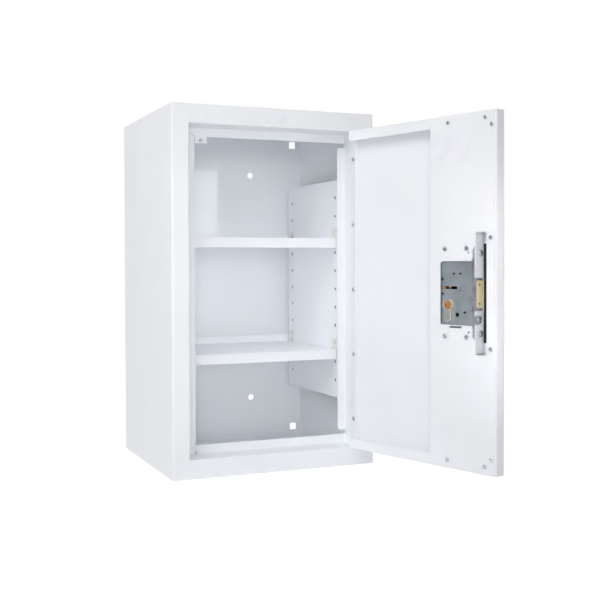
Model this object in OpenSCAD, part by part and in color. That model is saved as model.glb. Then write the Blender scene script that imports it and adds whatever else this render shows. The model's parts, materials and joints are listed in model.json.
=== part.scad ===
// Lockable medicine cabinet: a welded sheet-steel box with an inset hinged door, a mortice deadlock and
// two lift-off shelves on clips. The origin is the centre of the base, the front faces -Y and +Z is up.
// Pieces are drawn in cabinet coordinates: x from the left side, y from the front face, z from the base.
// Door pieces are drawn with the door shut, and on_door() then swings them about the hinge pin.

/* [Cabinet body] */
// Overall width of the body
body_w = 332; // [310:1:420]
// Overall depth of the body, without the door
body_d = 270; // [250:1:340]
// Overall height of the body
body_h = 550; // [520:1:640]
// Thickness of the body sheet
sheet = 1.2; // [1:0.1:1.5]
// Outside radius of the body's upright front bends
bend_r = 3; // [2:0.1:4]

/* [Front frame] */
// Width of the frame on the lock side
stile_left = 27; // [24:1:34]
// Width of the frame on the hinge side
stile_right = 30; // [27:1:36]
// Height of the frame above and below the opening
rail_h = 28.5; // [26:0.5:32]
// Depth of the reveal around the opening
reveal_d = 40; // [38:1:48]
// Width of the stop flange on the lock side
stop_left_w = 21.8; // [21:0.2:23]
// Height of the stop flanges above and below
stop_rail_h = 13.5; // [12:0.5:16]
// Width of the stop strip on the hinge side
stop_strip_w = 12.5; // [10:0.5:14]
// Length of the stop strip
stop_strip_h = 452; // [400:1:456]
// Diameter of the round blanking plug in the top rail
plug_d = 12; // [8:0.5:13]
// Distance of the round plug from the left side
plug_x = 50.4; // [40:0.2:70]
// Length of the oval blanking plug
oval_w = 37.5; // [30:0.5:50]
// Height of the oval blanking plug
oval_h = 16; // [10:0.5:18]

/* [Back panel] */
// Diameter of the four wall fixing holes
wall_hole_d = 10.5; // [6:0.5:12]
// Spacing of the wall fixing holes across
wall_hole_x = 132; // [100:1:160]
// Spacing of the wall fixing holes up the panel
wall_hole_z = 400; // [300:1:420]
// Side of the square holes in the corners
corner_hole = 12; // [8:0.5:14]
// Distance of the square holes from the outside of the body
corner_hole_in = 17; // [15:0.5:22]

/* [Shelving] */
// Distance of the liner face from the outside of the body
liner_in = 40.5; // [38:0.5:48]
// Depth of the liner from front to back
liner_d = 192; // [180:1:200]
// Height of the liner
liner_h = 350; // [340:1:400]
// Spacing of the shelf holes up the liner
hole_pitch = 29.4; // [28:0.2:32]
// Number of shelf holes in a column
hole_count = 11; // [9:2:11]
// Diameter of a shelf hole
shelf_hole_d = 5.5; // [5:0.5:7]
// Distance of the front hole column from the front of the liner
hole_front_in = 11; // [11:0.5:16]
// Distance of the rear hole column from the back of the liner
hole_rear_in = 16; // [12:0.5:20]
// Row of the upper shelf clips, counted down from the top hole
upper_row = 2; // [1:1:3]
// Row of the lower shelf clips, counted down from the top hole
lower_row = 8; // [6:1:8]
// Height from the upper shelf's top to its clip holes
upper_drop = 6.5; // [6:0.5:8]
// Height from the lower shelf's top to its clip holes
lower_drop = 9; // [6:0.5:9]
// Width of a shelf clip
clip_w = 15; // [12:1:18]
// Height of the shelf's front lip
shelf_lip = 15.5; // [12:0.5:20]
// Height of the shelf's rear upstand
shelf_upstand = 12; // [8:0.5:16]
// Thickness of the shelf sheet
shelf_sheet = 1; // [0.8:0.1:1.4]

/* [Door] */
// Angle at which the door stands open
door_open = 108.2; // [0:0.1:165]
// Depth of the door pan, without the cover plate
door_t = 18.8; // [18:0.1:20]
// Gap around the door in the opening
door_gap = 1.2; // [1.2:0.1:2.5]
// Width of the door's top and bottom lips
door_lip = 15.5; // [14:0.5:18]
// Width of the cover plate over the lock
cover_w = 107.2; // [105:0.2:120]
// Width of the blank label plate
label_w = 66; // [50:1:70]
// Height of the blank label plate
label_h = 47; // [35:1:55]

/* [Hinge] */
// Outside diameter of the hinge knuckles
knuckle_d = 4; // [3.6:0.1:4]
// Diameter of the hinge pin
pin_d = 2; // [1.6:0.1:2.2]
// Thickness of a hinge leaf
leaf_t = 1; // [0.8:0.1:1]
// Width of the leaf on the frame
frame_leaf_w = 15; // [12:0.5:18]
// Width of the leaf on the door
door_leaf_w = 5.5; // [5:0.5:12]
// Number of knuckles, frame and door together
knuckle_count = 14; // [8:2:20]
// Number of fixings along the frame leaf
leaf_fixings = 5; // [3:1:6]
// Spacing of the fixings along the frame leaf
fixing_pitch = 102; // [70:1:102]

/* [Lock] */
// Distance of the key cylinder's axis behind the outer forend
backset = 46.5; // [45.5:0.5:47.5]
// Depth of the lock case behind the forend
case_d = 60; // [58:1:62]
// Height of the lock case
case_h = 94; // [92:1:96]
// Thickness of the lock case
case_t = 15; // [15:0.1:15.2]
// Length of the forend
forend_h = 132; // [126:1:136]
// Width of the forend
forend_w = 15.2; // [14.8:0.1:15.4]
// Height of the deadbolt
bolt_h = 38; // [34:1:38]
// Thickness of the deadbolt
bolt_t = 12; // [9:0.1:12]
// Travel of the deadbolt
bolt_throw = 20; // [18:0.5:20]
// Overall height of the cylinder profile
profile_h = 33; // [32.5:0.1:33.5]
// Diameter of the round part of the cylinder profile
profile_d = 17; // [16.8:0.1:17.2]
// Width of the cylinder profile's leg
profile_leg = 10; // [9.8:0.1:10.2]
// Diameter of the key plug
key_plug_d = 13; // [12:0.1:13.2]
// Radius swept by the cam
cam_r = 14.5; // [13.5:0.1:14.5]
// Length by which the cylinder stands out of the door's face
cylinder_out = 5; // [4:0.5:9]

/* [Hidden] */
$fn = 48;

// Clearances
fit = 0.3;                    // between pieces that only lie close together
run = 0.05;                   // radial running fit
over = 1;                     // how far a cutting shape runs past the surface it cuts

// Opening in the front frame
open_x0 = stile_left;
open_x1 = body_w - stile_right;
open_z0 = rail_h;
open_z1 = body_h - rail_h;
mid_z = body_h / 2;
edge_r = 1.6;                 // outside radius of the bends around the opening
flange_y = reveal_d;
plug_z = open_z1 + rail_h / 2 - 2.5;
oval_z = open_z1 + rail_h / 2;
plug_rim = 1;                 // overlap of a blanking plug's head on the sheet
plug_head = 1;

// Stop flanges, and the holed tab that hangs from the top one
stop_x = open_x0 + stop_left_w;
stop_z0 = open_z0 + stop_rail_h;
stop_z1 = open_z1 - stop_rail_h;
mitre_gap = 0.5;
tab_x = stop_x + 0.7;
tab_w = 19.5;
tab_h = 10.5;
tab_hole_d = 5.5;
tab_hole_z = stop_z1 - tab_h / 2;
flange_hole_d = 4;

// Liner
liner_y0 = flange_y + sheet + 0.8;
liner_y1 = liner_y0 + liner_d;
liner_z0 = mid_z - liner_h / 2;
hole_y_front = liner_y0 + hole_front_in;
hole_y_rear = liner_y1 - hole_rear_in;
hole_z_top = mid_z + hole_pitch * (hole_count - 1) / 2;

// Shelf clips and shelves
clip_t = 1.2;
clip_up = 10;
clip_down = 12;
clip_ledge = 8;
clip_peg_d = shelf_hole_d - 0.6;
clip_peg_l = 4;
shelf_gap = clip_t + 0.8;
shelf_x0 = liner_in + shelf_gap;
shelf_x1 = body_w - liner_in - shelf_gap;
shelf_y0 = liner_y0 + 4;
shelf_y1 = liner_y1 + 0.5;
shelf_hem = 6;
upper_hole_z = hole_z_top - hole_pitch * upper_row;
lower_hole_z = hole_z_top - hole_pitch * lower_row;

// Hinge: the frame leaf lies on the jamb and the door leaf behind the door's skin
axis_x = open_x1 - leaf_t + 0.2;
axis_y = sheet - knuckle_d / 2 - fit;
hinge_h = body_h - 2 * rail_h - 2 * door_gap - 2;
hinge_z0 = mid_z - hinge_h / 2;
knuckle_pitch = hinge_h / knuckle_count;
knuckle_gap = 0.3;
leaf_y0 = axis_y + knuckle_d / 2 + fit;
leaf_y1 = frame_leaf_w;
leaf_screw_d = 3.5;
leaf_head_d = 7;
leaf_head_t = 1.4;

// Door outline, with the door shut
door_x0 = open_x0 + door_gap;
door_x1 = axis_x - knuckle_d / 2 - 0.1;
door_z0 = open_z0 + door_gap;
door_z1 = open_z1 - door_gap;
door_bend_r = 2.5;
fold_x1 = axis_x - 3.5;
edge_lip = 14.3;
cover_t = 1.2;
cover_y = door_t + cover_t;
cover_x0 = door_x0 + 2.9;
cover_x1 = cover_x0 + cover_w;
cover_z0 = door_z0 + 1;
cover_z1 = door_z1 - 1;
cover_r = 2;
label_t = 0.3;

// Open channel in the cover, between the forend and the free edge
channel_x0 = door_x0 + 14.9;
channel_x1 = channel_x0 + 17.4;
channel_h = 166;
strip_t = 1;
strip_h = 136;
strip_w = 5.8;
strip_margin = 0.4;

// Lock position: the bracket flange closes the channel and carries the forend
lock_z = mid_z - 0.8;
lock_y = 9.4;
bracket_t = 1.5;
forend_t = 3.55;
outer_x0 = channel_x1 + bracket_t;
inner_x0 = outer_x0 + forend_t;
case_x0 = inner_x0 + forend_t;
case_x1 = case_x0 + case_d;
case_y0 = lock_y - case_t / 2;
case_y1 = lock_y + case_t / 2;
case_z0 = lock_z - case_h / 2;
case_z1 = lock_z + case_h / 2;
case_sheet = 1.2;
window_x1 = case_x1 - 8.6;
window_z0 = case_z0 + 2.8;
window_z1 = case_z1 - 2.8;
forend_taper = 7;
forend_hole_z = 55;
forend_gap = 0.7;
slot_shift = 2.2;
lip_h = forend_h - 5.4;          // the flange's edge that stands level with the cover
bolt_notch = 22.5;
screw_notch_d = 11.5;

// Holes in the lid as [x, z, diameter], and posts and a rivet as [x, z], from the case's edge and lock_z
lid_holes = [
    [19.7, 26.9, 3.4],
    [30.2, 26.9, 3.4],
    [24.4, -29.9, 6.2],
    [12, -26.4, 3.4],
    [49.9, 18.9, 3.4],
    [49.9, -1.2, 3.4]];
post_spots = [[17.3, 40.2], [54, -38], [54, 38]];
lid_rivet = [17.3, 4.2];

// Deadbolt
bolt_z = lock_z - 1.2;
bolt_x0 = channel_x1 + 0.9;
bolt_head_l = 30;
bolt_head_x1 = bolt_x0 + bolt_head_l;
bolt_gap = 0.5;
tail_z0 = lock_z - 1.4;
tail_z1 = lock_z + 5;
tail_t = 2;
tail_y1 = lock_y - bolt_t / 2 + tail_t;
stump_z = lock_z + 7.3;
stump_w = 6.6;
stump_h = 3.4;
stump_x = case_x0 + 48.2;
stump_slot_h = 4;
lug_x0 = stump_x - 4;
tail_x1 = stump_x + 5;

// Cylinder
cyl_x = outer_x0 + backset;
cyl_z = lock_z - 16.6;
cyl_y0 = -cylinder_out;
cyl_y1 = door_t + 0.7;
cam_t = 9.4;
cam_y0 = lock_y - cam_t / 2;
cam_y1 = lock_y + cam_t / 2;
cam_gap = 0.3;
cam_ring_d = 15.4;
cam_lever_w = 7;
cam_rest = 200;
spindle_d = 6;
bridge_top = cyl_z - cam_r - 0.8;
leg_bottom = cyl_z + profile_d / 2 - profile_h;
screw_z = cyl_z - 20;
screw_d = 4.8;
screw_head_d = 8.4;
screw_head_t = 1;
keyway_w = 2.4;
keyway_h = 8;
keyway_depth = 3;
rose_t = 4;
rose_w = 32;
rose_h = 62;
rose_z = cyl_z - 8;

// Fixings on the cover plate, as [x, z] with the door shut
head_t = 1.4;
cover_head_d = 6.6;
bracket_head_d = 7.6;
forend_head_d = 9.6;
forend_head_t = 1.4;
cover_screw_d = 3;
edge_row = door_x0 + 8;
cover_spots = [
    [door_x0 + 78.5, door_z1 - 9.9],
    [door_x0 + 16.6, door_z1 - 9.4],
    [edge_row - 1.6, door_z1 - 19.6],
    [door_x0 + 79.9, door_z0 + 11.1],
    [door_x0 + 17.7, door_z0 + 11.1],
    [edge_row - 0.4, door_z0 + 21],
    [edge_row, mid_z + 74.8],
    [edge_row, mid_z - 75.2]];
bracket_spots = [
    [case_x0 + 6.2, lock_z + 61.6],
    [case_x0 + 6.2, lock_z - 60.4],
    [case_x0 + 43, lock_z + 61.6],
    [case_x0 + 43, lock_z - 60.4]];
rivet_spots = [[case_x0 + 2.8, lock_z + 55.8], [case_x0 + 2.8, lock_z - 53.2]];
ear_h = 75;
ear_x1 = case_x0 + 52;

// Openings in the cover by the lock case
window_low_r = 2.5;
window_top_r = 5;
slot_below = [case_x0 + 14.8, case_x0 + 35.2];
hairline_x = case_x0 + 36.1;

// ---------- Shared shapes ----------

// Puts cabinet coordinates in the part's frame
module on_cabinet() {
    translate([-body_w / 2, -body_d / 2, 0])
        children();
}

// Swings pieces that were drawn with the door shut
module on_door() {
    on_cabinet()
        translate([axis_x, axis_y, 0])
            rotate([0, 0, door_open])
                translate([-axis_x, -axis_y, 0])
                    children();
}

// A box between two corners
module block(x0, x1, y0, y1, z0, z1) {
    translate([x0, y0, z0])
        cube([x1 - x0, y1 - y0, z1 - z0]);
}

// A cylinder along +Y from y0 to y1
module rod_y(x, z, d, y0, y1) {
    translate([x, y0, z])
        rotate([-90, 0, 0])
            cylinder(d = d, h = y1 - y0);
}

// A cylinder along +X from x0 to x1
module rod_x(y, z, d, x0, x1) {
    translate([x0, y, z])
        rotate([0, 90, 0])
            cylinder(d = d, h = x1 - x0);
}

// A plate with its outline drawn in x and z, from y0 to y1
module plate_y(y0, y1) {
    translate([0, y1, 0])
        rotate([90, 0, 0])
            linear_extrude(y1 - y0)
                children();
}

// A plate with its outline drawn in y and z, from x0 to x1
module plate_x(x0, x1) {
    translate([x0, 0, 0])
        rotate([90, 0, 90])
            linear_extrude(x1 - x0)
                children();
}

// A rectangle between two corners, all four rounded
module rounded_rect(x0, x1, z0, z1, r) {
    translate([x0 + r, z0])
        square([x1 - x0 - 2 * r, z1 - z0]);
    translate([x0, z0 + r])
        square([x1 - x0, z1 - z0 - 2 * r]);
    for (x = [x0 + r, x1 - r], z = [z0 + r, z1 - r])
        translate([x, z])
            circle(r = r);
}

// A slot with round ends, its long way along x
module oval(x, z, w, h) {
    translate([x - (w - h) / 2, z - h / 2])
        square([w - h, h]);
    for (side = [-1, 1])
        translate([x + side * (w - h) / 2, z])
            circle(d = h);
}

// Quarter of a sheet bend of outside radius r, its outside corner at the origin and its centre at [r, r]
module bend(r, t) {
    intersection() {
        translate([r, r])
            difference() {
                circle(r = r);
                circle(r = r - t);
            }
        square(r);
    }
}

// Section of the opening's edge: from the front face at x = edge_r round to a reveal at x = 0
module edge_section() {
    bend(edge_r, sheet);
    translate([0, edge_r])
        square([sheet, flange_y - edge_r]);
}

// A hexagon socket head with its underside at y0, standing towards +Y, and its shank
module cover_screw(x, z, d, shank_d, y0, shank_l) {
    difference() {
        rod_y(x, z, d, y0, y0 + head_t);
        translate([x, y0 + head_t - 0.7, z])
            rotate([-90, 0, 0])
                cylinder(d = d * 0.45, h = over, $fn = 6);
    }
    rod_y(x, z, shank_d, y0 - shank_l, y0 + 0.2);
}

// Outline of the cylinder profile around its axis, grown by a clearance
module euro_profile(grow) {
    low = profile_d / 2 - profile_h + profile_leg / 2;
    circle(d = profile_d + 2 * grow);
    translate([-profile_leg / 2 - grow, low])
        square([profile_leg + 2 * grow, -low]);
    translate([0, low])
        circle(d = profile_leg + 2 * grow);
}

// Cuts the cylinder profile through a plate of the lock or the door
module profile_cut(y0, y1) {
    plate_y(y0, y1)
        translate([cyl_x, cyl_z])
            euro_profile(fit);
}

// ---------- Cabinet body ----------

module left_wall() {
    color("white") on_cabinet()
        block(0, sheet, bend_r, body_d, 0, body_h);
}

module right_wall() {
    color("white") on_cabinet()
        block(body_w - sheet, body_w, bend_r, body_d, 0, body_h);
}

module roof() {
    color("white") on_cabinet()
        block(sheet, body_w - sheet, sheet, body_d, body_h - sheet, body_h);
}

module base() {
    color("white") on_cabinet()
        block(sheet, body_w - sheet, sheet, body_d, 0, sheet);
}

module back_panel() {
    color("white") on_cabinet() difference() {
        block(sheet, body_w - sheet, body_d - sheet, body_d, sheet, body_h - sheet);
        for (sx = [-1, 1], sz = [-1, 1]) {
            rod_y(body_w / 2 + sx * wall_hole_x / 2, mid_z + sz * wall_hole_z / 2, wall_hole_d,
                body_d - sheet - over, body_d + over);
            translate([body_w / 2 + sx * (body_w / 2 - corner_hole_in), body_d,
                mid_z + sz * (mid_z - corner_hole_in)])
                cube([corner_hole, 4 * sheet, corner_hole], center = true);
        }
    }
}

// ---------- Front frame ----------

// Face strip of a stile with its rounded outside corner, drawn for the left side
module stile_face(width) {
    linear_extrude(body_h) {
        bend(bend_r, sheet);
        translate([bend_r, 0])
            square([width - edge_r - bend_r, sheet]);
    }
}

// Folded edge beside the opening, mitred at both ends, drawn for the left side
module stile_fold(width) {
    intersection() {
        translate([width, 0, 0])
            mirror([1, 0, 0])
                linear_extrude(body_h)
                    edge_section();
        plate_y(-over, flange_y + over)
            polygon([[width, open_z0], [width, open_z1], [width - 2 * edge_r, open_z1 + 2 * edge_r],
                [width - 2 * edge_r, open_z0 - 2 * edge_r]]);
    }
}

module left_stile() {
    color("white") on_cabinet() {
        stile_face(stile_left);
        stile_fold(stile_left);
        plate_y(flange_y, flange_y + sheet)
            polygon([[open_x0 - sheet, open_z0 + mitre_gap], [open_x0, open_z0 + mitre_gap],
                [stop_x, stop_z0 + mitre_gap], [stop_x, stop_z1 - mitre_gap],
                [open_x0, open_z1 - mitre_gap], [open_x0 - sheet, open_z1 - mitre_gap]]);
    }
}

module right_stile() {
    color("white") on_cabinet()
        translate([body_w, 0, 0])
            mirror([1, 0, 0]) {
                stile_face(stile_right);
                stile_fold(stile_right);
            }
}

// A rail's face and folded edge, drawn for the bottom of the opening
module rail_fold() {
    block(open_x0 - edge_r, open_x1 + edge_r, 0, sheet, 0, open_z0 - edge_r);
    intersection() {
        translate([open_x0 - edge_r, 0, open_z0])
            rotate([0, 90, 0])
                linear_extrude(open_x1 - open_x0 + 2 * edge_r)
                    edge_section();
        plate_y(-over, flange_y + over)
            polygon([[open_x0, open_z0], [open_x1, open_z0],
                [open_x1 + 2 * edge_r, open_z0 - 2 * edge_r],
                [open_x0 - 2 * edge_r, open_z0 - 2 * edge_r]]);
    }
}

module bottom_rail() {
    color("white") on_cabinet() {
        rail_fold();
        plate_y(flange_y, flange_y + sheet)
            difference() {
                polygon([[open_x0, open_z0 - sheet], [open_x1, open_z0 - sheet], [open_x1, stop_z0],
                    [stop_x, stop_z0], [open_x0, open_z0]]);
                translate([stop_x, open_z0 + 2.2])
                    circle(d = flange_hole_d);
            }
    }
}

module top_rail() {
    color("white") on_cabinet() difference() {
        union() {
            translate([0, 0, body_h])
                mirror([0, 0, 1])
                    rail_fold();
            plate_y(flange_y, flange_y + sheet)
                polygon([[open_x0, open_z1 + sheet], [open_x0, open_z1], [stop_x, stop_z1],
                    [tab_x, stop_z1], [tab_x, stop_z1 - tab_h], [tab_x + tab_w, stop_z1 - tab_h],
                    [tab_x + tab_w, stop_z1], [open_x1, stop_z1], [open_x1, open_z1 + sheet]]);
        }
        rod_y(tab_x + 9, tab_hole_z, tab_hole_d, flange_y - over, flange_y + sheet + over);
        rod_y(plug_x, plug_z, plug_d - 2 * plug_rim, -over, sheet + over);
        plate_y(-over, sheet + over)
            oval(body_w / 2, oval_z, oval_w - 2 * plug_rim, oval_h - 2 * plug_rim);
    }
}

module stop_strip() {
    color("white") on_cabinet()
        plate_y(flange_y, flange_y + sheet)
            intersection() {
                rounded_rect(open_x1 - stop_strip_w, open_x1 + 10, mid_z - stop_strip_h / 2,
                    mid_z + stop_strip_h / 2, 4);
                square([open_x1 + sheet, body_h]);
            }
}

module round_plug() {
    color("white") on_cabinet() {
        rod_y(plug_x, plug_z, plug_d, -plug_head, 0);
        rod_y(plug_x, plug_z, plug_d - 2 * plug_rim, -plug_head / 2, sheet + over);
    }
}

module oval_plug() {
    color("white") on_cabinet() {
        plate_y(-plug_head, 0)
            oval(body_w / 2, oval_z, oval_w, oval_h);
        plate_y(-plug_head / 2, sheet + over)
            oval(body_w / 2, oval_z, oval_w - 2 * plug_rim, oval_h - 2 * plug_rim);
    }
}

// ---------- Shelving ----------

// A perforated channel whose flanges are turned out to the side wall, drawn for the left side
module liner() {
    difference() {
        union() {
            block(liner_in - sheet, liner_in, liner_y0, liner_y1, liner_z0, liner_z0 + liner_h);
            block(sheet, liner_in, liner_y0, liner_y0 + sheet, liner_z0, liner_z0 + liner_h);
            block(sheet, liner_in, liner_y1 - sheet, liner_y1, liner_z0, liner_z0 + liner_h);
        }
        for (i = [0 : hole_count - 1], y = [hole_y_front, hole_y_rear])
            rod_x(y, hole_z_top - i * hole_pitch, shelf_hole_d, liner_in - sheet - over, liner_in + over);
    }
}

module left_liner() {
    color("white") on_cabinet()
        liner();
}

module right_liner() {
    color("white") on_cabinet()
        translate([body_w, 0, 0])
            mirror([1, 0, 0])
                liner();
}

// One clip on the left liner: a plate, a peg through the hole and a ledge under the shelf
module clip(y, z, drop, ledge_y0) {
    ledge_z = z - drop - shelf_sheet;
    block(liner_in, liner_in + clip_t, y - clip_w / 2, y + clip_w / 2, z - clip_down, z + clip_up);
    rod_x(y, z, clip_peg_d, liner_in - clip_peg_l, liner_in + 0.5);
    rod_x(y, z, shelf_hole_d + 1.5, liner_in - clip_peg_l, liner_in - sheet);
    block(liner_in, liner_in + clip_ledge, max(ledge_y0, y - clip_w / 2), y + clip_w / 2,
        ledge_z - clip_t, ledge_z);
}

module clip_set(z, drop) {
    for (side = [0, 1])
        translate([side * body_w, 0, 0])
            mirror([side, 0, 0]) {
                clip(hole_y_front, z, drop, shelf_y0 + shelf_sheet + 1);
                clip(hole_y_rear, z, drop, 0);
            }
}

module upper_clips() {
    color("silver") on_cabinet()
        clip_set(upper_hole_z, upper_drop);
}

module lower_clips() {
    color("silver") on_cabinet()
        clip_set(lower_hole_z, lower_drop);
}

// A folded tray: a front lip turned down and hemmed back, and a rear upstand
module shelf(top) {
    block(shelf_x0, shelf_x1, shelf_y0, shelf_y1, top - shelf_sheet, top);
    block(shelf_x0, shelf_x1, shelf_y0, shelf_y0 + shelf_sheet, top - shelf_lip, top);
    block(shelf_x0 + 9, shelf_x1 - 9, shelf_y0, shelf_y0 + shelf_hem, top - shelf_lip,
        top - shelf_lip + shelf_sheet);
    block(shelf_x0, shelf_x1, shelf_y1 - shelf_sheet, shelf_y1, top - shelf_sheet, top + shelf_upstand);
}

module upper_shelf() {
    color("white") on_cabinet()
        shelf(upper_hole_z - upper_drop);
}

module lower_shelf() {
    color("white") on_cabinet()
        shelf(lower_hole_z - lower_drop);
}

// ---------- Hinge ----------

// The knuckles of one leaf: every second one, starting with the given number
module knuckles(first, bore) {
    for (i = [first : 2 : knuckle_count - 1])
        translate([axis_x, axis_y, hinge_z0 + i * knuckle_pitch + knuckle_gap / 2])
            difference() {
                cylinder(d = knuckle_d, h = knuckle_pitch - knuckle_gap);
                translate([0, 0, -over])
                    cylinder(d = bore, h = knuckle_pitch + 2 * over);
            }
}

// A strip beside every second knuckle that joins it to its leaf
module knuckle_webs(first, x0, x1, y0, y1) {
    for (i = [first : 2 : knuckle_count - 1])
        block(x0, x1, y0, y1, hinge_z0 + i * knuckle_pitch + knuckle_gap / 2,
            hinge_z0 + (i + 1) * knuckle_pitch - knuckle_gap / 2);
}

module leaf_screw_places() {
    for (i = [0 : leaf_fixings - 1])
        translate([0, frame_leaf_w / 2, mid_z + (i - (leaf_fixings - 1) / 2) * fixing_pitch])
            children();
}

module hinge_frame_leaf() {
    color("white") on_cabinet() {
        difference() {
            block(open_x1 - leaf_t, open_x1, leaf_y0, leaf_y1, hinge_z0, hinge_z0 + hinge_h);
            leaf_screw_places()
                rod_x(0, 0, leaf_screw_d, open_x1 - leaf_t - over, open_x1 + over);
        }
        knuckles(0, pin_d);
        knuckle_webs(0, open_x1 - leaf_t + 0.1, open_x1, axis_y + pin_d / 2 + 0.2, leaf_y0 + 0.2);
    }
}

module hinge_screws() {
    color("silver") on_cabinet()
        leaf_screw_places()
            difference() {
                union() {
                    rod_x(0, 0, leaf_head_d, open_x1 - leaf_t - leaf_head_t, open_x1 - leaf_t);
                    rod_x(0, 0, leaf_screw_d, open_x1 - leaf_t - 0.2, open_x1);
                }
                rod_x(0, 0, 2.5, open_x1 - leaf_t - leaf_head_t - over, open_x1 - leaf_t - 0.5);
            }
}

module hinge_pin() {
    color("silver") on_cabinet()
        translate([axis_x, axis_y, hinge_z0 - 0.4])
            cylinder(d = pin_d, h = hinge_h + 0.8);
}

module hinge_door_leaf() {
    color("white") on_door() {
        block(door_x1 - door_leaf_w, axis_x - 0.5, sheet, sheet + leaf_t, hinge_z0 + fit,
            hinge_z0 + hinge_h - fit);
        knuckles(1, pin_d + 2 * run);
        knuckle_webs(1, axis_x - 1.5, axis_x - 0.5, axis_y + pin_d / 2 + 0.2, sheet + 0.2);
    }
}

// ---------- Door ----------

// The skin, the free edge and its lip, in one folded sheet
module door_skin() {
    color("white") on_door() difference() {
        translate([door_x0, 0, door_z0])
            linear_extrude(door_z1 - door_z0)
                door_section();
        profile_cut(-over, sheet + over);
        cover_holes();
    }
}

module door_section() {
    bend(door_bend_r, sheet);
    translate([door_bend_r, 0])
        square([door_x1 - door_x0 - door_bend_r, sheet]);
    translate([0, door_bend_r])
        square([sheet, door_t - 2 * door_bend_r]);
    translate([0, door_t])
        mirror([0, 1])
            bend(door_bend_r, sheet);
    translate([door_bend_r, door_t - sheet])
        square([edge_lip - door_bend_r, sheet]);
}

// The folded edge and lip along the door's bottom, with a rounded corner at the hinge end
module door_fold() {
    difference() {
        block(door_x0 + sheet, fold_x1, sheet, door_t, door_z0, door_z0 + sheet);
        translate([door_x0, 0, door_z0 - over])
            linear_extrude(sheet + 2 * over)
                door_section();
        block(door_x0, door_x0 + edge_lip, door_t - sheet, door_t + over, door_z0 - over,
            door_z0 + sheet + over);
    }
    plate_y(door_t - sheet, door_t)
        intersection() {
            rounded_rect(door_x0, fold_x1, door_z0 - door_lip, door_z0 + door_lip, 5);
            translate([door_x0 + edge_lip, door_z0])
                square([fold_x1 - door_x0, door_lip]);
        }
}

module door_bottom_fold() {
    color("white") on_door() difference() {
        door_fold();
        cover_holes();
    }
}

module door_top_fold() {
    color("white") on_door() difference() {
        translate([0, 0, body_h])
            mirror([0, 0, 1])
                door_fold();
        cover_holes();
    }
}

module cover_holes() {
    for (spot = cover_spots)
        rod_y(spot[0], spot[1], cover_screw_d, door_t - sheet - over, cover_y + over);
}

// The forend's sloped outline with a gap around it, shifted so that the cover laps over the forend
module forend_slot() {
    half = forend_h / 2 + forend_gap;
    polygon([[outer_x0 - slot_shift, lock_z - half], [case_x0 - slot_shift, lock_z - half + forend_taper],
        [case_x0 - slot_shift, lock_z + half - forend_taper], [outer_x0 - slot_shift, lock_z + half]]);
}

// The window over the lock case, its hinge side's corners larger at the top
module window_outline() {
    intersection() {
        union() {
            rounded_rect(channel_x0, window_x1, window_z0, lock_z + window_top_r, window_low_r);
            rounded_rect(channel_x0, window_x1, lock_z - window_top_r, window_z1, window_top_r);
        }
        translate([channel_x1, window_z0])
            square([window_x1 - channel_x1, window_z1 - window_z0]);
    }
}

// The cover's outline in x and z, with the channel, the forend slot and the window over the lock case
module cover_outline() {
    difference() {
        rounded_rect(cover_x0, cover_x1, cover_z0, cover_z1, cover_r);
        translate([channel_x0, lock_z - channel_h / 2])
            square([channel_x1 - channel_x0, channel_h]);
        forend_slot();
        window_outline();
        translate([slot_below[0], window_z0 - 4])
            square([slot_below[1] - slot_below[0], 2.6]);
        translate([hairline_x, window_z0 - 28])
            square([0.4, 25]);
    }
}

module cover_plate() {
    color("white") on_door() {
        difference() {
            plate_y(door_t, cover_y)
                cover_outline();
            cover_holes();
            for (spot = bracket_spots)
                rod_y(spot[0], spot[1], cover_screw_d, door_t - over, cover_y + over);
        }
        block(cover_x1 - cover_t, cover_x1, sheet, door_t + 0.2, door_z0 + door_lip + 0.5,
            door_z1 - door_lip - 0.5);
    }
}

module cover_screws() {
    color("silver") on_door()
        for (spot = cover_spots)
            cover_screw(spot[0], spot[1], cover_head_d, cover_screw_d, cover_y, cover_t + sheet);
}

module label_plate() {
    x0 = cover_x1 - 5.1 - label_w;
    color("white") on_door()
        block(x0, x0 + label_w, cover_y, cover_y + label_t, door_z1 - 20 - label_h, door_z1 - 20);
}

// A soft strip on the skin, in the bottom of the channel
module channel_strip() {
    color("black") on_door()
        block(channel_x1 - strip_margin - strip_w, channel_x1 - strip_margin, sheet, sheet + strip_t,
            lock_z - strip_h / 2, lock_z + strip_h / 2);
}

// ---------- Lock ----------

// The flange that closes the channel, open at the back around the bolt and the screw, and two ears
module lock_bracket() {
    color("white") on_door() difference() {
        union() {
            block(channel_x1, outer_x0, sheet + fit, door_t, lock_z - channel_h / 2 + 0.5,
                lock_z + channel_h / 2 - 0.5);
            block(channel_x1, outer_x0, door_t - 0.5, cover_y, lock_z - lip_h / 2, lock_z + lip_h / 2);
            plate_y(door_t - bracket_t, door_t)
                difference() {
                    translate([channel_x1, lock_z - ear_h])
                        square([ear_x1 - channel_x1, 2 * ear_h]);
                    forend_slot();
                    translate([outer_x0, case_z0 - 1])
                        square([ear_x1 - outer_x0 + over, case_h + 2]);
                    translate([slot_below[0] - 2, case_z0 - 6])
                        square([slot_below[1] - slot_below[0] + 4, 6]);
                }
        }
        block(channel_x1 - over, outer_x0 + over, lock_y - bolt_t / 2 - 1.5, cover_y + over,
            bolt_z - bolt_notch, bolt_z + bolt_notch);
        rod_x(lock_y, screw_z, screw_notch_d, channel_x1 - over, outer_x0 + over);
        block(channel_x1 - over, outer_x0 + over, lock_y, cover_y + over, screw_z - screw_notch_d / 2,
            screw_z + screw_notch_d / 2);
        for (side = [-1, 1])
            rod_x(lock_y, lock_z + side * forend_hole_z, 4.4, channel_x1 - over, outer_x0 + over);
        for (spot = bracket_spots)
            rod_y(spot[0], spot[1], cover_screw_d, door_t - bracket_t - over, door_t + over);
    }
}

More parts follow.
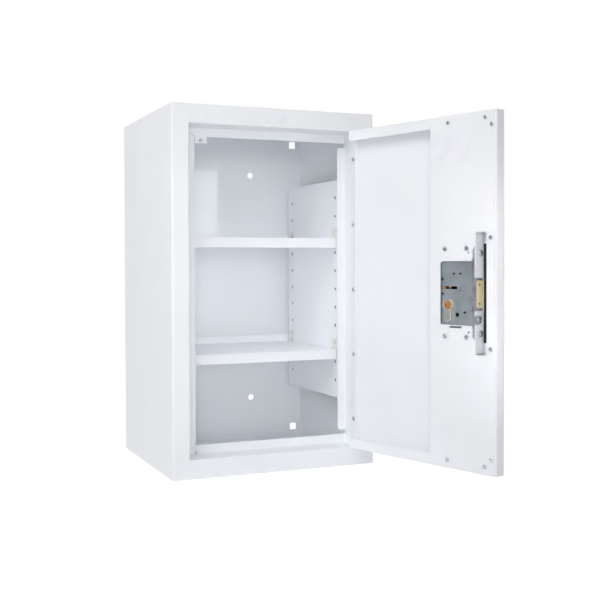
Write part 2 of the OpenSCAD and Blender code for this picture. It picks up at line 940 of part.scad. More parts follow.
module bracket_screws() {
    color("silver") on_door()
        for (spot = bracket_spots)
            cover_screw(spot[0], spot[1], bracket_head_d, cover_screw_d, cover_y, cover_t + bracket_t);
}

module bracket_rivets() {
    color("silver") on_door()
        for (spot = rivet_spots)
            rod_y(spot[0], spot[1], 3.2, cover_y, cover_y + 0.7);
}

// The lock case: a tray open towards the lid, with holes for the bolt, the cylinder and the cylinder screw
module lock_case() {
    color("silver") on_door() difference() {
        block(case_x0, case_x1, case_y0, case_y1 - case_sheet, case_z0, case_z1);
        block(case_x0 + case_sheet, case_x1 - case_sheet, case_y0 + case_sheet, case_y1 + over,
            case_z0 + case_sheet, case_z1 - case_sheet);
        bolt_way(case_x0 - over, case_x0 + case_sheet + over);
        profile_cut(case_y0 - over, case_y0 + case_sheet + over);
        rod_x(lock_y, screw_z, screw_d + 2 * fit, case_x0 - over, case_x0 + case_sheet + over);
    }
}

// Passage for the bolt through a plate that faces the free edge
module bolt_way(x0, x1) {
    block(x0, x1, lock_y - bolt_t / 2 - bolt_gap, lock_y + bolt_t / 2 + bolt_gap,
        bolt_z - bolt_h / 2 - bolt_gap, bolt_z + bolt_h / 2 + bolt_gap);
}

module case_lid() {
    y0 = case_y1 - case_sheet;
    color("silver") on_door() difference() {
        block(case_x0, case_x1, y0, case_y1, case_z0, case_z1);
        profile_cut(y0 - over, case_y1 + over);
        plate_y(y0 - over, case_y1 + over) {
            oval(stump_x - bolt_throw / 2, stump_z, bolt_throw + stump_w + 0.8, stump_slot_h);
            for (spot = lid_holes)
                translate([case_x0 + spot[0], lock_z + spot[1]])
                    circle(d = spot[2]);
        }
    }
}

// Posts that join the lid to the case, and one rivet on the lid
module case_posts() {
    color("silver") on_door() {
        for (spot = post_spots)
            rod_y(case_x0 + spot[0], lock_z + spot[1], 4, case_y0 + case_sheet, case_y1 - case_sheet);
        rod_y(case_x0 + lid_rivet[0], lock_z + lid_rivet[1], 4.2, case_y1, case_y1 + 0.5);
    }
}

// Outline of one forend layer in x and z, its ends sloped towards the case
module forend_outline(x0, half0, half1) {
    polygon([[x0, lock_z - half0], [x0 + forend_t, lock_z - half1],
        [x0 + forend_t, lock_z + half1], [x0, lock_z + half0]]);
}

module forend_layer(x0, half0, half1, screw_hole) {
    difference() {
        plate_y(lock_y - forend_w / 2, lock_y + forend_w / 2)
            forend_outline(x0, half0, half1);
        bolt_way(x0 - over, x0 + forend_t + over);
        rod_x(lock_y, screw_z, screw_hole, x0 - over, x0 + forend_t + over);
        for (side = [-1, 1])
            rod_x(lock_y, lock_z + side * forend_hole_z, 4, x0 - over, x0 + forend_t + over);
    }
}

module inner_forend() {
    color("silver") on_door()
        forend_layer(inner_x0, forend_h / 2 - forend_taper / 2, forend_h / 2 - forend_taper,
            screw_d + 2 * fit);
}

module outer_forend() {
    color("silver") on_door()
        forend_layer(outer_x0, forend_h / 2, forend_h / 2 - forend_taper / 2, screw_d + 2 * fit);
}

module forend_screws() {
    color("silver") on_door()
        for (side = [-1, 1])
            difference() {
                union() {
                    rod_x(lock_y, lock_z + side * forend_hole_z, forend_head_d, channel_x1 - forend_head_t,
                        channel_x1);
                    rod_x(lock_y, lock_z + side * forend_hole_z, 4, channel_x1 - 0.2, case_x0 + 1);
                }
                rod_x(lock_y, lock_z + side * forend_hole_z, 3, channel_x1 - forend_head_t - over,
                    channel_x1 - forend_head_t + 1);
            }
}

// Two profile halves joined by a bridge below the cam
module cylinder_body() {
    color("gold") on_door() difference() {
        plate_y(cyl_y0, cyl_y1)
            translate([cyl_x, cyl_z])
                euro_profile(0);
        rod_y(cyl_x, cyl_z, key_plug_d + 2 * run, cyl_y0 - over, cyl_y1 + over);
        block(cyl_x - profile_d, cyl_x + profile_d, cam_y0 - cam_gap, cam_y1 + cam_gap, bridge_top,
            cyl_z + profile_d);
        rod_x(lock_y, screw_z, screw_d + 2 * run, cyl_x - profile_leg, cyl_x);
    }
}

module cylinder_screw() {
    color("silver") on_door() difference() {
        union() {
            rod_x(lock_y, screw_z, screw_head_d, outer_x0 - screw_head_t, outer_x0);
            rod_x(lock_y, screw_z, screw_d, outer_x0 - 0.2, cyl_x - 0.5);
        }
        translate([outer_x0 - screw_head_t - over, lock_y - 3, screw_z - 0.6])
            cube([over + 0.8, 6, 1.2]);
    }
}

// Oval plate around the cylinder on the door's outer face
module escutcheon() {
    color("silver") on_door() difference() {
        plate_y(-rose_t, 0)
            translate([cyl_x, rose_z])
                rotate([0, 0, 90])
                    oval(0, 0, rose_h, rose_w);
        profile_cut(-rose_t - over, over);
    }
}

// A key plug in each half of the cylinder, turned with the cam
module key_plugs() {
    color("gold") on_door() {
        key_plug(cyl_y0 - 0.4, cam_y0 - cam_gap, cyl_y0 - 0.4);
        key_plug(cam_y1 + cam_gap, cyl_y1 + 0.4, cyl_y1 + 0.4 - keyway_depth);
    }
}

module key_plug(y0, y1, keyway_y) {
    difference() {
        rod_y(cyl_x, cyl_z, key_plug_d, y0, y1);
        block(cyl_x - keyway_w / 2, cyl_x + keyway_w / 2, keyway_y, keyway_y + keyway_depth,
            cyl_z - keyway_h / 2, cyl_z + keyway_h / 2);
        rod_y(cyl_x, cyl_z, spindle_d, max(y0, cam_y0 - 1), min(y1, cam_y1 + 1));
    }
}

module cam_spindle() {
    color("silver") on_door()
        rod_y(cyl_x, cyl_z, spindle_d, cam_y0 - 1, cam_y1 + 1);
}

// A ring on the spindle with one lever, which drives the bolt
module lock_cam() {
    color("gold") on_door() difference() {
        plate_y(cam_y0, cam_y1)
            translate([cyl_x, cyl_z])
                rotate([0, 0, cam_rest]) {
                    circle(d = cam_ring_d);
                    intersection() {
                        circle(r = cam_r);
                        translate([-cam_lever_w / 2, 0])
                            square([cam_lever_w, cam_r + 1]);
                    }
                }
        rod_y(cyl_x, cyl_z, spindle_d, cam_y0 - over, cam_y1 + over);
    }
}

// The bolt head and a tail whose raised end carries the guide stump in the lid's slot
module deadbolt() {
    color("gold") on_door() difference() {
        union() {
            block(bolt_x0, bolt_head_x1, lock_y - bolt_t / 2, lock_y + bolt_t / 2, bolt_z - bolt_h / 2,
                bolt_z + bolt_h / 2);
            block(bolt_head_x1 - 0.5, tail_x1, lock_y - bolt_t / 2, tail_y1, tail_z0, tail_z1);
            block(lug_x0, tail_x1, lock_y - bolt_t / 2, tail_y1, tail_z0, stump_z + stump_h);
        }
        for (side = [-1, 1])
            rod_x(lock_y + 1, bolt_z + side * 13, 4, bolt_x0 - over, bolt_x0 + 12);
    }
}

// The guide stump, and the two hardened pins set in the bolt's end
module bolt_pins() {
    color("gold") on_door() {
        plate_y(tail_y1, case_y1 - 0.3)
            oval(stump_x, stump_z, stump_w, stump_h);
        for (side = [-1, 1])
            rod_x(lock_y + 1, bolt_z + side * 13, 4, bolt_x0 - 0.2, bolt_x0 + 12);
    }
}

left_wall();
right_wall();
roof();
base();
back_panel();
left_stile();
right_stile();
top_rail();
bottom_rail();
stop_strip();
round_plug();
oval_plug();
left_liner();
right_liner();
upper_clips();
lower_clips();
upper_shelf();
lower_shelf();
hinge_frame_leaf();
hinge_screws();
hinge_pin();
hinge_door_leaf();
door_skin();
door_top_fold();
door_bottom_fold();
cover_plate();
cover_screws();
label_plate();
channel_strip();
lock_bracket();
bracket_screws();
bracket_rivets();
lock_case();
case_lid();
case_posts();
inner_forend();
outer_forend();
forend_screws();
cylinder_body();
cylinder_screw();
escutcheon();
key_plugs();
cam_spindle();
lock_cam();
deadbolt();
bolt_pins();
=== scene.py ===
"""Lockable medicine cabinet: finishes, detail pieces, studio and camera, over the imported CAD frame."""

from __future__ import annotations

import json
import logging
import math
from dataclasses import dataclass, field
from enum import Enum
from typing import Callable, Sequence

import bmesh
import bpy
from mathutils import Matrix, Vector

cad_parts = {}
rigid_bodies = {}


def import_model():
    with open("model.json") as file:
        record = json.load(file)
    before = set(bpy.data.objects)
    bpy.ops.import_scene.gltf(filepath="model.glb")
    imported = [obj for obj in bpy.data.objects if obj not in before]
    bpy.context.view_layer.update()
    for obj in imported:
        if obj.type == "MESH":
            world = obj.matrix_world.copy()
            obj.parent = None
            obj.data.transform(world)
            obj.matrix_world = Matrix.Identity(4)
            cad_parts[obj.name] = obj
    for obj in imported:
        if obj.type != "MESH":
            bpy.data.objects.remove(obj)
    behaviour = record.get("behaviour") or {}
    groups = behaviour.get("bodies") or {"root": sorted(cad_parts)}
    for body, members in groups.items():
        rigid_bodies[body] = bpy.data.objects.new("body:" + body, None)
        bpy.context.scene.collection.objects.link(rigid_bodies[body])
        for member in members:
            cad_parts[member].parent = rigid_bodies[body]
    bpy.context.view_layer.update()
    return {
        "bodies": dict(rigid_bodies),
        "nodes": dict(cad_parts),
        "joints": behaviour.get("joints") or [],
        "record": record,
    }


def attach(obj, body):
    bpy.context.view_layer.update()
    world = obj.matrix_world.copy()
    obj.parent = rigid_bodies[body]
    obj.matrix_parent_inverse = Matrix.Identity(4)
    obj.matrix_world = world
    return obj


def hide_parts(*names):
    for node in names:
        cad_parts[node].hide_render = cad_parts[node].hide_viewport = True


LOG = logging.getLogger("cabinet")
MM = 0.001

Point = tuple[float, float, float]
Spot = tuple[float, float]
Piece = bpy.types.Object
Material = bpy.types.Material
Tree = bpy.types.NodeTree
Socket = bpy.types.NodeSocket
Sockets = tuple[Socket, Socket, Socket]
Values = dict[str | int, object]
Links = dict[str | int, Socket]


class Place(Enum):
    """The two frames a piece is drawn in: the fixed cabinet, or the door as if it were shut."""

    CABINET = "cabinet"
    DOOR = "door"


class Recess(Enum):
    """What a screw or rivet has in the middle of its head."""

    HEX = "hex"
    CROSS = "cross"
    HOLE = "hole"
    NONE = "none"


class Facing(Enum):
    """The drawn direction that a fixing's head stands towards."""

    INTO_CABINET = (0.0, 1.0, 0.0)
    TO_FRONT = (0.0, -1.0, 0.0)
    TO_LEFT = (-1.0, 0.0, 0.0)


@dataclass(frozen=True)
class Frame:
    """The cabinet's main sizes in millimetres, from its left front bottom corner, as the solids have them."""

    width: float = 332.0
    depth: float = 270.0
    # the hinge's axis, and how far the door stands open about it
    axis_x: float = 301.2
    axis_y: float = -1.1
    door_angle: float = 108.2
    # the face of the cover plate, the lock's side of the channel and the middle of the lock's thickness
    cover_y: float = 20.0
    channel_x1: float = 60.5
    lock_y: float = 9.4

    def matrix(self, place: Place) -> Matrix:
        """Gives the transform from drawn millimetres to the row frame in metres.

        Args:
            place: the frame that a piece is drawn in.

        Returns:
            The 4x4 matrix that takes a drawn point to its place.
        """
        shift = Matrix.Translation((-self.width / 2, -self.depth / 2, 0))
        scale = Matrix.Scale(MM, 4)
        if place is Place.CABINET:
            return scale @ shift
        axis = Matrix.Translation((self.axis_x, self.axis_y, 0))
        turn = Matrix.Rotation(math.radians(self.door_angle), 4, "Z")
        return scale @ shift @ axis @ turn @ axis.inverted()


FRAME = Frame()


# ---------- Nodes and colours ----------

# a noise texture's values lie mostly between these two
NOISE_LOW, NOISE_HIGH = 0.3, 0.7


def linear(hex_colour: str) -> tuple[float, float, float, float]:
    """Turns an sRGB hex colour into linear RGBA.

    Args:
        hex_colour: six hex digits, with or without a leading #.

    Returns:
        The linear colour with alpha 1.
    """
    digits = hex_colour.lstrip("#")
    parts = [int(digits[i : i + 2], 16) / 255 for i in (0, 2, 4)]
    out = [c / 12.92 if c <= 0.04045 else ((c + 0.055) / 1.055) ** 2.4 for c in parts]
    return (out[0], out[1], out[2], 1.0)


def add_node(
    tree: Tree,
    kind: str,
    values: Values | None = None,
    links: Links | None = None,
    **settings: object,
) -> bpy.types.Node:
    """Adds a node with its settings, socket values and incoming links.

    Args:
        tree: the node tree to add to.
        kind: the node's type name.
        values: default values by input name or number.
        links: sockets to link from, by input name or number.
        settings: attributes of the node.

    Returns:
        The new node.
    """
    node = tree.nodes.new(kind)
    for name, value in settings.items():
        setattr(node, name, value)
    for key, value in (values or {}).items():
        node.inputs[key].default_value = value
    for key, socket in (links or {}).items():
        tree.links.new(socket, node.inputs[key])
    return node


def tint(tree: Tree, factor: Socket, low: str, high: str) -> Socket:
    """Runs from one colour to another with a noise.

    Args:
        tree: the node tree.
        factor: the noise, about 0.3 to 0.7.
        low: the sRGB hex colour at its low end.
        high: the sRGB hex colour at its high end.

    Returns:
        The colour socket.
    """
    ramp = add_node(tree, "ShaderNodeValToRGB", None, {"Fac": factor})
    for element, position, colour in zip(ramp.color_ramp.elements, (NOISE_LOW, NOISE_HIGH), (low, high)):
        element.position = position
        element.color = linear(colour)
    return ramp.outputs["Color"]


def blank_material(name: str) -> tuple[Material, Tree]:
    """Makes a material with an empty node tree.

    Args:
        name: the material's name.

    Returns:
        The material and its tree.
    """
    material = bpy.data.materials.new(name)
    material.use_nodes = True
    material.node_tree.nodes.clear()
    return material, material.node_tree


# ---------- Finishes ----------


@dataclass(frozen=True)
class Finish:
    """A finish that lies on the object's own coordinates and ends in one Principled shader."""

    name: str
    colour: str
    shade: str
    roughness: float
    # how far the roughness runs either side, and the span of the pattern that it follows
    gloss_spread: float = 0.05
    gloss_span: tuple[float, float] = (NOISE_LOW, NOISE_HIGH)
    # a metal keeps the shader's own index of refraction
    ior: float = 1.5
    metallic: float = 0.0

    def build(self) -> Material:
        """Builds the material.

        Returns:
            The finished material.
        """
        material, tree = blank_material(self.name)
        place = add_node(tree, "ShaderNodeTexCoord").outputs["Object"]
        tone, gloss, normal = self._patterns(tree, place)
        rough = add_node(
            tree,
            "ShaderNodeMapRange",
            {
                "From Min": self.gloss_span[0],
                "From Max": self.gloss_span[1],
                "To Min": self.roughness - self.gloss_spread,
                "To Max": self.roughness + self.gloss_spread,
            },
            {"Value": gloss},
        )
        shader = add_node(
            tree,
            "ShaderNodeBsdfPrincipled",
            {"Metallic": self.metallic} if self.metallic else {"IOR": self.ior},
            {
                "Base Color": tint(tree, tone, self.shade, self.colour),
                "Roughness": rough.outputs["Result"],
                "Normal": normal,
            },
        )
        add_node(tree, "ShaderNodeOutputMaterial", None, {"Surface": shader.outputs["BSDF"]})
        return material

    def _patterns(self, tree: Tree, place: Socket) -> Sockets:
        """Adds the finish's patterns.

        Args:
            tree: the material's node tree.
            place: the object's coordinates in metres.

        Returns:
            The sockets that drive the tint, the gloss and the relief.
        """
        raise NotImplementedError


@dataclass(frozen=True)
class PowderCoat(Finish):
    """Polyester powder coat, sprayed and baked on folded steel: a faint orange peel under a soft gloss."""

    gloss_spread: float = 0.04
    # the film's thickness drifts over a hand's width, and with it the tint and the gloss
    drift_mm: float = 110.0
    # orange peel: the powder flows out in bumps a little over a millimetre across
    peel_mm: float = 1.6
    peel_height_mm: float = 0.010
    # the coat rounds every cut edge of the sheet
    edge_mm: float = 0.5

    def _patterns(self, tree: Tree, place: Socket) -> Sockets:
        """Adds the drift, the orange peel and the rounded edges."""
        drift = add_node(
            tree, "ShaderNodeTexNoise", {"Scale": 1 / (self.drift_mm * MM), "Detail": 2.0}, {"Vector": place}
        )
        peel = add_node(
            tree, "ShaderNodeTexNoise", {"Scale": 1 / (self.peel_mm * MM), "Detail": 1.0}, {"Vector": place}
        )
        edge = add_node(tree, "ShaderNodeBevel", {"Radius": self.edge_mm * MM}, samples=4)
        bump = add_node(
            tree,
            "ShaderNodeBump",
            {"Strength": 0.5, "Distance": self.peel_height_mm * MM},
            {"Height": peel.outputs["Fac"], "Normal": edge.outputs["Normal"]},
        )
        return drift.outputs["Fac"], drift.outputs["Fac"], bump.outputs["Normal"]


@dataclass(frozen=True)
class WorkedMetal(Finish):
    """Bare or plated metal with a grain up the part: rolled, drawn or turned, in dull and bright patches."""

    metallic: float = 1.0
    gloss_spread: float = 0.06
    # the grain is drawn far coarser than real brushing, so that it still shows at arm's length
    grain_mm: float = 0.5
    grain_height_mm: float = 0.01
    stretch: float = 0.08
    # patches a few millimetres across, where handling and plating dull the metal
    patch_mm: float = 9.0
    # the plating rounds the edges
    edge_mm: float = 0.3

    def _patterns(self, tree: Tree, place: Socket) -> Sockets:
        """Adds the patches, the grain and the rounded edges."""
        patch = add_node(
            tree, "ShaderNodeTexNoise", {"Scale": 1 / (self.patch_mm * MM), "Detail": 3.0}, {"Vector": place}
        )
        along = add_node(tree, "ShaderNodeMapping", {"Scale": (1.0, 1.0, self.stretch)}, {"Vector": place})
        grain = add_node(
            tree,
            "ShaderNodeTexNoise",
            {"Scale": 1 / (self.grain_mm * MM), "Detail": 2.0},
            {"Vector": along.outputs["Vector"]},
        )
        edge = add_node(tree, "ShaderNodeBevel", {"Radius": self.edge_mm * MM}, samples=4)
        bump = add_node(
            tree,
            "ShaderNodeBump",
            {"Strength": 0.6, "Distance": self.grain_height_mm * MM},
            {"Height": grain.outputs["Fac"], "Normal": edge.outputs["Normal"]},
        )
        return patch.outputs["Fac"], patch.outputs["Fac"], bump.outputs["Normal"]


@dataclass(frozen=True)
class Polymer(Finish):
    """Moulded plastic, printed film, or near-black sheets of painted shade: a smooth skin with a fine
    spark-eroded or foamed grain.
    """

    ior: float = 1.49
    # the mould's grain, whose cells run from 0 to 1
    gloss_span: tuple[float, float] = (0.0, 1.0)
    grain_mm: float = 0.5
    grain_height_mm: float = 0.003
    # the tint clouds over about a finger's width
    cloud_mm: float = 20.0

    def _patterns(self, tree: Tree, place: Socket) -> Sockets:
        """Adds the clouds and the grain."""
        cloud = add_node(
            tree, "ShaderNodeTexNoise", {"Scale": 1 / (self.cloud_mm * MM), "Detail": 2.0}, {"Vector": place}
        )
        cells = add_node(
            tree, "ShaderNodeTexVoronoi", {"Scale": 1 / (self.grain_mm * MM)}, {"Vector": place}, feature="F1"
        )
        bump = add_node(
            tree,
            "ShaderNodeBump",
            {"Strength": 0.5, "Distance": self.grain_height_mm * MM},
            {"Height": cells.outputs["Distance"]},
        )
        return cloud.outputs["Fac"], cells.outputs["Distance"], bump.outputs["Normal"]


def shared(finish: Finish) -> Material:
    """Declares a field that holds a finish's material.

    Args:
        finish: the finish.

    Returns:
        The dataclass field, whose material is built with its owner.
    """
    return field(default_factory=finish.build)


@dataclass
class Finishes:
    """Every finish on the cabinet, built once and shared."""

    # white polyester powder: an even, very slightly blue white with a soft gloss
    coat: Material = shared(PowderCoat("powder_coated_steel", "F7F9FB", "F3F5F7", 0.40))
    # bright zinc: bluish white plate over turned steel, the mirror of screws and rivets
    zinc: Material = shared(WorkedMetal("zinc_plated_steel", "D9DEE2", "B4BCC4", 0.24))
    # the clips are sprung steel under a warm white lacquer, glossier than the coat
    lacquer: Material = shared(
        WorkedMetal("lacquered_spring_steel", "F1EFE9", "E4E1D9", 0.3, grain_height_mm=0.004, metallic=0.1)
    )
    # the lock's lid is plain rolled steel with a phosphate bloom, so it stays an even matt grey
    grey: Material = shared(
        WorkedMetal(
            "rolled_lock_steel", "B4BCC2", "A7B0B6", 0.5, gloss_spread=0.05, grain_mm=0.6, patch_mm=14.0
        )
    )
    # the case under the lid is near-black steel: painted shade, so that the lid's holes read dark
    black: Material = shared(WorkedMetal("lock_case_painted_shade", "2B2E31", "1F2123", 0.55, patch_mm=12.0))
    # stainless forend, ground along its length to a satin sheen
    satin: Material = shared(
        WorkedMetal("satin_stainless", "CFCFD6", "C0C0C8", 0.36, grain_mm=0.35, stretch=0.03)
    )
    # the bolt is brass whose colour is painted pale and nearly unmetallic: painted light, so that it reads
    # lit even deep in its shaded channel
    brass: Material = shared(
        WorkedMetal(
            "brass_painted_light", "FFF3C2", "FFEBB0", 0.45, grain_mm=0.4, grain_height_mm=0.004, metallic=0.15
        )
    )
    # key plugs and pins: turned brass that handling has browned
    worn: Material = shared(WorkedMetal("turned_brass", "F3C999", "CE9A5E", 0.32, patch_mm=3.0))
    # nickel over brass: a warm grey sheen on the cylinder's profile
    nickel: Material = shared(WorkedMetal("nickel_plated_brass", "F0EAE4", "E2DCD4", 0.38))
    # polyethylene blanking plugs, as white as the coat but softer at their rims
    plastic: Material = shared(
        Polymer(
            "moulded_polyethylene", "F5F7FA", "F1F3F6", 0.45, grain_mm=0.7, grain_height_mm=0.006, ior=1.51
        )
    )
    # matt vinyl film
    film: Material = shared(Polymer("vinyl_film", "F6F7FA", "F1F2F6", 0.5))
    # near-black sheets of painted shade: the dark in the door's channel and behind the liners' spare holes,
    # where there is only shade
    shade_black: Material = shared(
        Polymer("painted_shade_black", "1B1C1F", "121315", 0.85, grain_mm=0.8, grain_height_mm=0.12, ior=1.52)
    )


# ---------- Modelling in millimetres ----------

# how near counts as the same height or place
NEAR = 0.001
# points nearer than this are merged
MERGE = 0.0005
# in degrees: edges sharper than the first are rounded, and edges flatter than the second shaded smooth
SHARP_EDGE, SMOOTH_EDGE = 40.0, 35.0
# a face counts as pointing along an axis from this share of its normal on
ALONG = 0.9


def wipe_selection() -> None:
    """Deselects every object, so that an operator acts on its own piece alone."""
    if bpy.context.mode != "OBJECT":
        bpy.ops.object.mode_set(mode="OBJECT")
    bpy.ops.object.select_all(action="DESELECT")


def take(piece: Piece) -> None:
    """Makes a piece the only selected object and the active one."""
    wipe_selection()
    piece.select_set(True)
    bpy.context.view_layer.objects.active = piece


def rod(diameter: float, bottom: float, top: float, sides: int = 32) -> Piece:
    """Adds a cylinder along Z.

    Args:
        diameter: its diameter in millimetres.
        bottom: the height of its lower face.
        top: the height of its upper face.
        sides: its number of sides.

    Returns:
        The new object, active and selected alone.
    """
    wipe_selection()
    bpy.ops.mesh.primitive_cylinder_add(
        vertices=sides, radius=diameter / 2, depth=top - bottom, location=(0, 0, (top + bottom) / 2)
    )
    piece = bpy.context.active_object
    bpy.ops.object.transform_apply(location=True, rotation=True, scale=True)
    return piece


def brick(low: Point, high: Point) -> Piece:
    """Adds a box between two corners.

    Args:
        low: its lowest corner in millimetres.
        high: its highest corner.

    Returns:
        The new object, active and selected alone.
    """
    wipe_selection()
    middle = [(a + b) / 2 for a, b in zip(low, high)]
    size = [b - a for a, b in zip(low, high)]
    bpy.ops.mesh.primitive_cube_add(size=1, location=middle, scale=size)
    piece = bpy.context.active_object
    bpy.ops.object.transform_apply(location=True, rotation=True, scale=True)
    return piece


def pick(piece: Piece, kind: str, test: Callable[[Vector, Vector], bool]) -> None:
    """Selects faces or edges of the piece in edit mode by place and direction.

    Args:
        piece: the mesh object, in edit mode.
        kind: "FACE" or "EDGE".
        test: takes the middle and the normal, or the middle and the edge's direction.
    """
    bpy.ops.mesh.select_mode(type=kind)
    bpy.ops.mesh.select_all(action="DESELECT")
    mesh = bmesh.from_edit_mesh(piece.data)
    for item in mesh.faces if kind == "FACE" else mesh.edges:
        if kind == "FACE":
            middle, way = item.calc_center_median(), item.normal
        else:
            a, b = (vertex.co for vertex in item.verts)
            middle, way = (a + b) / 2, (b - a).normalized()
        if test(middle, way):
            item.select = True
    mesh.select_flush_mode()
    bmesh.update_edit_mesh(piece.data)


def combine(piece: Piece, tool: Piece, operation: str) -> None:
    """Adds a tool to a piece or cuts it out with a Boolean modifier, and removes the tool.

    Args:
        piece: the mesh object that is changed.
        tool: the mesh object it is changed by.
        operation: "UNION" or "DIFFERENCE".
    """
    take(piece)
    modifier = piece.modifiers.new("combine", "BOOLEAN")
    modifier.operation = operation
    modifier.solver = "EXACT"
    modifier.object = tool
    bpy.ops.object.modifier_apply(modifier=modifier.name)
    bpy.data.objects.remove(tool)


def soften(piece: Piece, width: float, segments: int = 2) -> None:
    """Rounds a piece's sharp edges with a Bevel modifier and applies it.

    Args:
        piece: the mesh object.
        width: the bevel's width in millimetres.
        segments: its number of segments.
    """
    take(piece)
    modifier = piece.modifiers.new("edges", "BEVEL")
    modifier.width = width
    modifier.segments = segments
    modifier.limit_method = "ANGLE"
    modifier.angle_limit = math.radians(SHARP_EDGE)
    modifier.use_clamp_overlap = True
    bpy.ops.object.modifier_apply(modifier=modifier.name)


def spread_sides(piece: Piece, distance: float) -> None:
    """Moves both halves of a round piece outwards along X in edit mode, so that it becomes an oval.

    Args:
        piece: the piece, in edit mode.
        distance: how far each half moves, in millimetres.
    """
    for side in (-1, 1):
        mesh = bmesh.from_edit_mesh(piece.data)
        bpy.ops.mesh.select_mode(type="VERT")
        bpy.ops.mesh.select_all(action="DESELECT")
        for vertex in mesh.verts:
            vertex.select = vertex.co.x * side > NEAR
        mesh.select_flush_mode()
        bmesh.update_edit_mesh(piece.data)
        bpy.ops.transform.translate(value=(side * distance, 0, 0))


def turned_copy(piece: Piece, spot: Point, facing: Facing, spin: float = 0.0) -> Piece:
    """Copies a fixing drawn along +Z to a drawn place.

    Args:
        piece: the fixing, its head's underside at the origin.
        spot: where the head's underside goes, in drawn millimetres.
        facing: the way its head stands.
        spin: degrees turned about its own axis.

    Returns:
        The copy, with its own mesh.
    """
    take(piece)
    bpy.ops.object.duplicate(linked=False)
    copy = bpy.context.active_object
    turn = Vector(facing.value).to_track_quat("Z", "Y").to_matrix().to_4x4()
    copy.matrix_world = Matrix.Translation(spot) @ turn @ Matrix.Rotation(math.radians(spin), 4, "Z")
    bpy.ops.object.transform_apply(location=True, rotation=True, scale=True)
    return copy


def gather(pieces: Sequence[Piece]) -> Piece:
    """Joins pieces into one object.

    Args:
        pieces: at least one object.

    Returns:
        The joined object.
    """
    take(pieces[0])
    for piece in pieces[1:]:
        piece.select_set(True)
    if len(pieces) > 1:
        bpy.ops.object.join()
    return bpy.context.active_object


def set_in_place(piece: Piece, name: str, place: Place) -> Piece:
    """Moves a finished piece from drawn millimetres into the row frame.

    Args:
        piece: the mesh object, drawn in millimetres with its object at the origin.
        name: the piece's name.
        place: the frame it is drawn in.

    Returns:
        The piece, its object at the origin and its place in its mesh.
    """
    take(piece)
    bpy.ops.object.mode_set(mode="EDIT")
    bpy.ops.mesh.select_all(action="SELECT")
    bpy.ops.mesh.remove_doubles(threshold=MERGE)
    bpy.ops.mesh.normals_make_consistent(inside=False)
    bpy.ops.object.mode_set(mode="OBJECT")
    bpy.ops.object.shade_smooth_by_angle(angle=math.radians(SMOOTH_EDGE))
    piece.matrix_world = FRAME.matrix(place)
    bpy.ops.object.transform_apply(location=True, rotation=True, scale=True)
    piece.name = name
    piece.data.name = name
    return piece


def fit(piece: Piece, material: Material, slot: str, body: str, *nodes: str) -> None:
    """Gives a piece its finish and body and lets it stand for CAD nodes.

    Args:
        piece: the piece, in place.
        material: its finish.
        slot: the record's material slot; not used.
        body: the CAD body it rides on.
        nodes: the CAD nodes that it stands for.
    """
    piece.data.materials.clear()
    piece.data.materials.append(material)
    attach(piece, body)
    if nodes:
        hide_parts(*nodes)
    LOG.info("%s: %d faces, on %s", piece.name, len(piece.data.polygons), body)


def dress(frame: dict, material: Material, *nodes: str) -> None:
    """Gives CAD nodes a finish.

    Args:
        material: the finish.
        nodes: the nodes' names.
    """
    for name in nodes:
        node = frame["nodes"][name]
        if not node.material_slots:
            node.data.materials.append(material)
        for socket in node.material_slots:
            socket.material = material
        LOG.info("%s: %s", name, material.name)


@dataclass(frozen=True)
class Fixing:
    """A screw or rivet, drawn along +Z in millimetres with its head's underside at the origin.

    The dome is the share of the head's height that its rim is rolled over by.
    """

    head: float
    height: float
    shank: float
    length: float
    recess: Recess
    recess_size: float
    dome: float
    # the recess's depth as a share of the head's height, and how far its cutter stands over the head
    recess_depth: float = 0.62
    cutter_over: float = 1.0
    # a cross recess's arms and the square in its middle, as shares of its size
    cross_arm: float = 0.17
    cross_heart: float = 0.55
    # edges further out than this share of the head are its rim
    rim: float = 0.4

    def build(self) -> Piece:
        """Models the fixing.

        Returns:
            The fixing at the origin.
        """
        piece = rod(self.head, 0.0, self.height)
        bpy.ops.object.mode_set(mode="EDIT")
        # crown the head: its rim is rolled over in a few steps
        pick(
            piece,
            "EDGE",
            lambda at, way: at.z > self.height - NEAR and math.hypot(at.x, at.y) > self.head * self.rim,
        )
        bpy.ops.mesh.bevel(offset=self.height * self.dome, segments=4, profile=0.5, affect="EDGES")
        # the shank grows out of the underside
        pick(piece, "FACE", lambda at, way: way.z < -ALONG)
        bpy.ops.mesh.inset(thickness=(self.head - self.shank) / 2, depth=0.0)
        bpy.ops.mesh.extrude_region_move(TRANSFORM_OT_translate={"value": (0, 0, -self.length)})
        bpy.ops.object.mode_set(mode="OBJECT")
        for tool in self._tools():
            combine(piece, tool, "DIFFERENCE")
        return piece

    def _tools(self) -> list[Piece]:
        """Makes the shapes that cut the recess."""
        low, high = self.height - self.height * self.recess_depth, self.height + self.cutter_over
        if self.recess is Recess.HEX:
            return [rod(self.recess_size, low, high, 6)]
        if self.recess is Recess.HOLE:
            return [rod(self.recess_size, low, high, 20)]
        if self.recess is Recess.CROSS:
            half = self.recess_size / 2
            arm = self.recess_size * self.cross_arm
            heart = half * self.cross_heart
            return [
                brick((-half, -arm, low), (half, arm, high)),
                brick((-arm, -half, low), (arm, half, high)),
                brick((-heart, -heart, low), (heart, heart, high)),
            ]
        return []


# in degrees: how far the first head of a set is turned, when each is turned further than the last
FIRST_SPIN = 11.0


